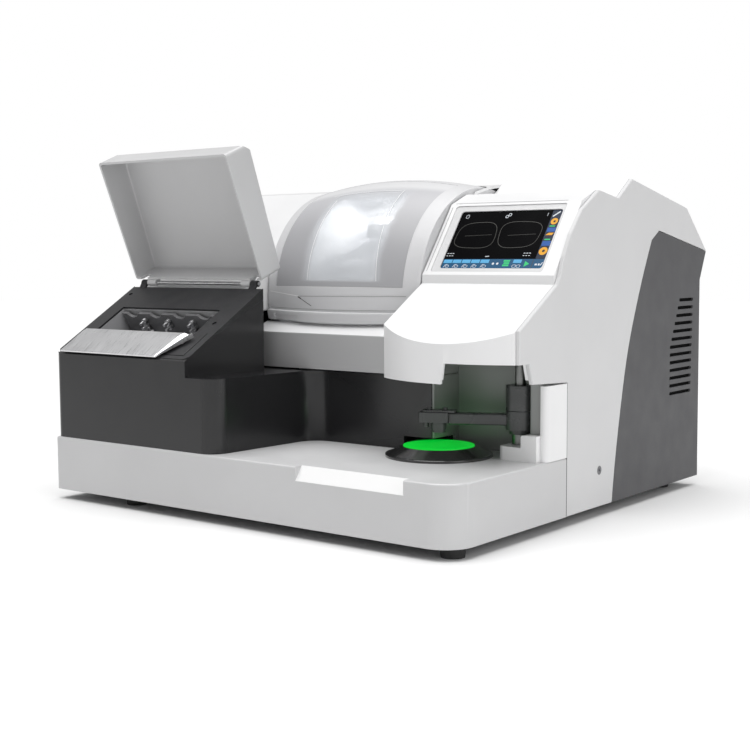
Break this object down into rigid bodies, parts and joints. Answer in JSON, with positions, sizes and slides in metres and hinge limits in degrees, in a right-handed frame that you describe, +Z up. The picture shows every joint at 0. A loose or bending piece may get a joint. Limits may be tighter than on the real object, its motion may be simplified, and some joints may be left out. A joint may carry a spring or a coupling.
{
  "type": "automatic lens edger",
  "caption": "Countertop lens edger: frame tracer under a hinged lid, grinding chamber behind a roll-back window, lens blocker and touch display in one case.",
  "frame": {"origin": "on the worktop, at the middle of the footprint", "axes": "+X to the operator's right, +Y to the back, +Z up; the operator stands at -Y"},
  "size_m": [0.68, 0.65, 0.4859],
  "materials": {
    "shell_white": "satin white moulding",
    "base_grey": "light grey moulding, fine texture",
    "side_grey": "light grey moulding, fine texture",
    "vent_grey": "fine-grained dark grey",
    "cover_dark": "dark graphite, semi-gloss",
    "deck_dark": "fine-grained graphite",
    "well_light": "light grey moulding",
    "clamp_silver": "satin anodised",
    "clamp_dark": "dark grey moulding",
    "steel": "turned and ground",
    "screw_steel": "bright plated",
    "lid_pearl": "pearl white, satin",
    "lid_frost": "frosted translucent white",
    "lid_clear": "clear acrylic",
    "bezel_white": "satin white",
    "screen": "black touch glass, lit",
    "board": "solder mask",
    "foot_rubber": "matt black",
    "black_plastic": "matt black",
    "bay_green_grey": "satin grey-green",
    "light_green": "lit green diffuser",
    "disc_black": "satin black",
    "column_steel": "black oxide",
    "arm_black": "satin black",
    "basin_white": "white chamber liner",
    "chassis_alu": "as machined",
    "cast_alu": "bead blasted",
    "wheel_rough": "diamond grit bond, bronze",
    "wheel_fine": "fine diamond bond",
    "belt_rubber": "ribbed rubber",
    "motor_body": "painted dark grey",
    "port_brass": "turned",
    "panel_grey": "grey powder coat"
  },
  "bodies": {
    "case": {"base_pan": "base_grey", "bottom_plate": "panel_grey", "feet": "foot_rubber", "front_cover": "cover_dark", "tracer_deck": "deck_dark", "tracer_hinge_pin": "steel", "tracer_well": "well_light", "upper_shell": "shell_white", "display_bezel": "bezel_white", "display_glass": "screen", "display_board": "board", "right_side_panel": "side_grey", "right_vent_panel": "vent_grey", "left_side_panel": "side_grey", "left_vent_panel": "vent_grey", "case_screws": "screw_steel", "rear_panel": "panel_grey", "fan_frame": "black_plastic", "power_inlet": "black_plastic", "water_ports": "port_brass", "bay_panel": "bay_green_grey", "column_cover": "shell_white", "blocker_pedestal": "shell_white", "blocker_column": "column_steel", "blocker_base": "disc_black", "light_plate": "light_green", "chamber_basin": "basin_white", "chassis": "chassis_alu", "lid_pins": "steel", "swing_shaft": "steel", "drive_belt": "belt_rubber", "drive_motor": "motor_body", "water_nozzle": "port_brass", "power_supply": "panel_grey", "main_board": "board"},
    "tracer_table": {"tracer_turntable": "cast_alu"},
    "stylus_slide": {"stylus_carriage": "chassis_alu"},
    "stylus": {"tracer_stylus": "steel"},
    "front_clamp": {"front_clamp_plate": "clamp_silver"},
    "rear_clamp": {"rear_clamp_wall": "clamp_dark", "rear_clamp_pins": "steel"},
    "tracer_cover": {"tracer_lid": "lid_pearl"},
    "fan": {"fan_rotor": "black_plastic"},
    "switch": {"power_switch": "black_plastic"},
    "blocker_slider": {"blocker_sleeve": "arm_black"},
    "blocker_swing": {"blocker_arm": "arm_black", "blocker_head": "arm_black"},
    "chamber_lid": {"chamber_lid_frame": "lid_frost", "chamber_lid_window": "lid_clear", "chamber_lid_lip": "lid_frost"},
    "carriage": {"lens_carriage": "cast_alu", "carriage_cover": "black_plastic"},
    "left_chuck": {"left_lens_shaft": "steel"},
    "quill": {"lens_quill": "steel"},
    "right_chuck": {"right_lens_shaft": "steel"},
    "wheel_spindle": {"spindle": "steel", "rough_wheel": "wheel_rough", "finish_wheels": "wheel_fine", "spindle_pulley": "chassis_alu"},
    "motor_shaft": {"motor_pulley": "chassis_alu"}
  },
  "joints": [
    {"name": "tracer_lid_hinge", "type": "hinge", "parent": "case", "child": "tracer_cover", "pos_m": [-0.21, -0.167, 0.301], "axis": [1, 0, 0], "range_deg": [0, 99]},
    {"name": "front_clamp_slide", "type": "slide", "parent": "case", "child": "front_clamp", "axis": [0, 0.8572, 0.515], "range_m": [0, 0.018]},
    {"name": "rear_clamp_slide", "type": "slide", "parent": "case", "child": "rear_clamp", "axis": [0, 0.8572, 0.515], "range_m": [-0.018, 0]},
    {"name": "tracer_table_spin", "type": "hinge", "parent": "case", "child": "tracer_table", "pos_m": [-0.214, -0.22896, 0.20277], "axis": [0, -0.515, 0.8572], "continuous": true},
    {"name": "stylus_carriage_slide", "type": "slide", "parent": "tracer_table", "child": "stylus_slide", "axis": [1, 0, 0], "range_m": [0, 0.024]},
    {"name": "stylus_lift", "type": "slide", "parent": "stylus_slide", "child": "stylus", "axis": [0, -0.515, 0.8572], "range_m": [0, 0.008]},
    {"name": "chamber_lid_roll", "type": "hinge", "parent": "case", "child": "chamber_lid", "pos_m": [0.003, 0.0416, 0.2816], "axis": [-1, 0, 0], "range_deg": [0, 75]},
    {"name": "carriage_swing", "type": "hinge", "parent": "case", "child": "carriage", "pos_m": [0.003, 0.084, 0.358], "axis": [1, 0, 0], "range_deg": [0, 20]},
    {"name": "left_chuck_turn", "type": "hinge", "parent": "carriage", "child": "left_chuck", "pos_m": [-0.09, 0.002, 0.324], "axis": [1, 0, 0], "continuous": true},
    {"name": "quill_slide", "type": "slide", "parent": "carriage", "child": "quill", "axis": [-1, 0, 0], "range_m": [0, 0.011]},
    {"name": "right_chuck_turn", "type": "hinge", "parent": "quill", "child": "right_chuck", "pos_m": [0.09, 0.002, 0.324], "axis": [1, 0, 0], "continuous": true},
    {"name": "wheel_spin", "type": "hinge", "parent": "case", "child": "wheel_spindle", "pos_m": [0, 0.02, 0.222], "axis": [1, 0, 0], "continuous": true},
    {"name": "motor_spin", "type": "hinge", "parent": "case", "child": "motor_shaft", "pos_m": [-0.11, 0.19, 0.152], "axis": [1, 0, 0], "continuous": true},
    {"name": "fan_spin", "type": "hinge", "parent": "case", "child": "fan", "pos_m": [0.22, 0.286, 0.2], "axis": [0, 1, 0], "continuous": true},
    {"name": "switch_rock", "type": "hinge", "parent": "case", "child": "switch", "pos_m": [0.18, 0.296, 0.112], "axis": [1, 0, 0], "range_deg": [0, 12]},
    {"name": "blocker_press", "type": "slide", "parent": "case", "child": "blocker_slider", "axis": [0, 0, 1], "range_m": [-0.012, 0], "stiffness_N_per_m": 300, "springref_m": 0.02},
    {"name": "blocker_arm_swing", "type": "hinge", "parent": "blocker_slider", "child": "blocker_swing", "pos_m": [0.291, -0.108, 0.135], "axis": [0, 0, 1], "range_deg": [0, 60]}
  ],
  "couplings": [
    {"joint": "rear_clamp_slide", "follows": "front_clamp_slide", "ratio": -1},
    {"joint": "right_chuck_turn", "follows": "left_chuck_turn", "ratio": 1},
    {"joint": "motor_spin", "follows": "wheel_spin", "ratio": 1.3333}
  ]
}
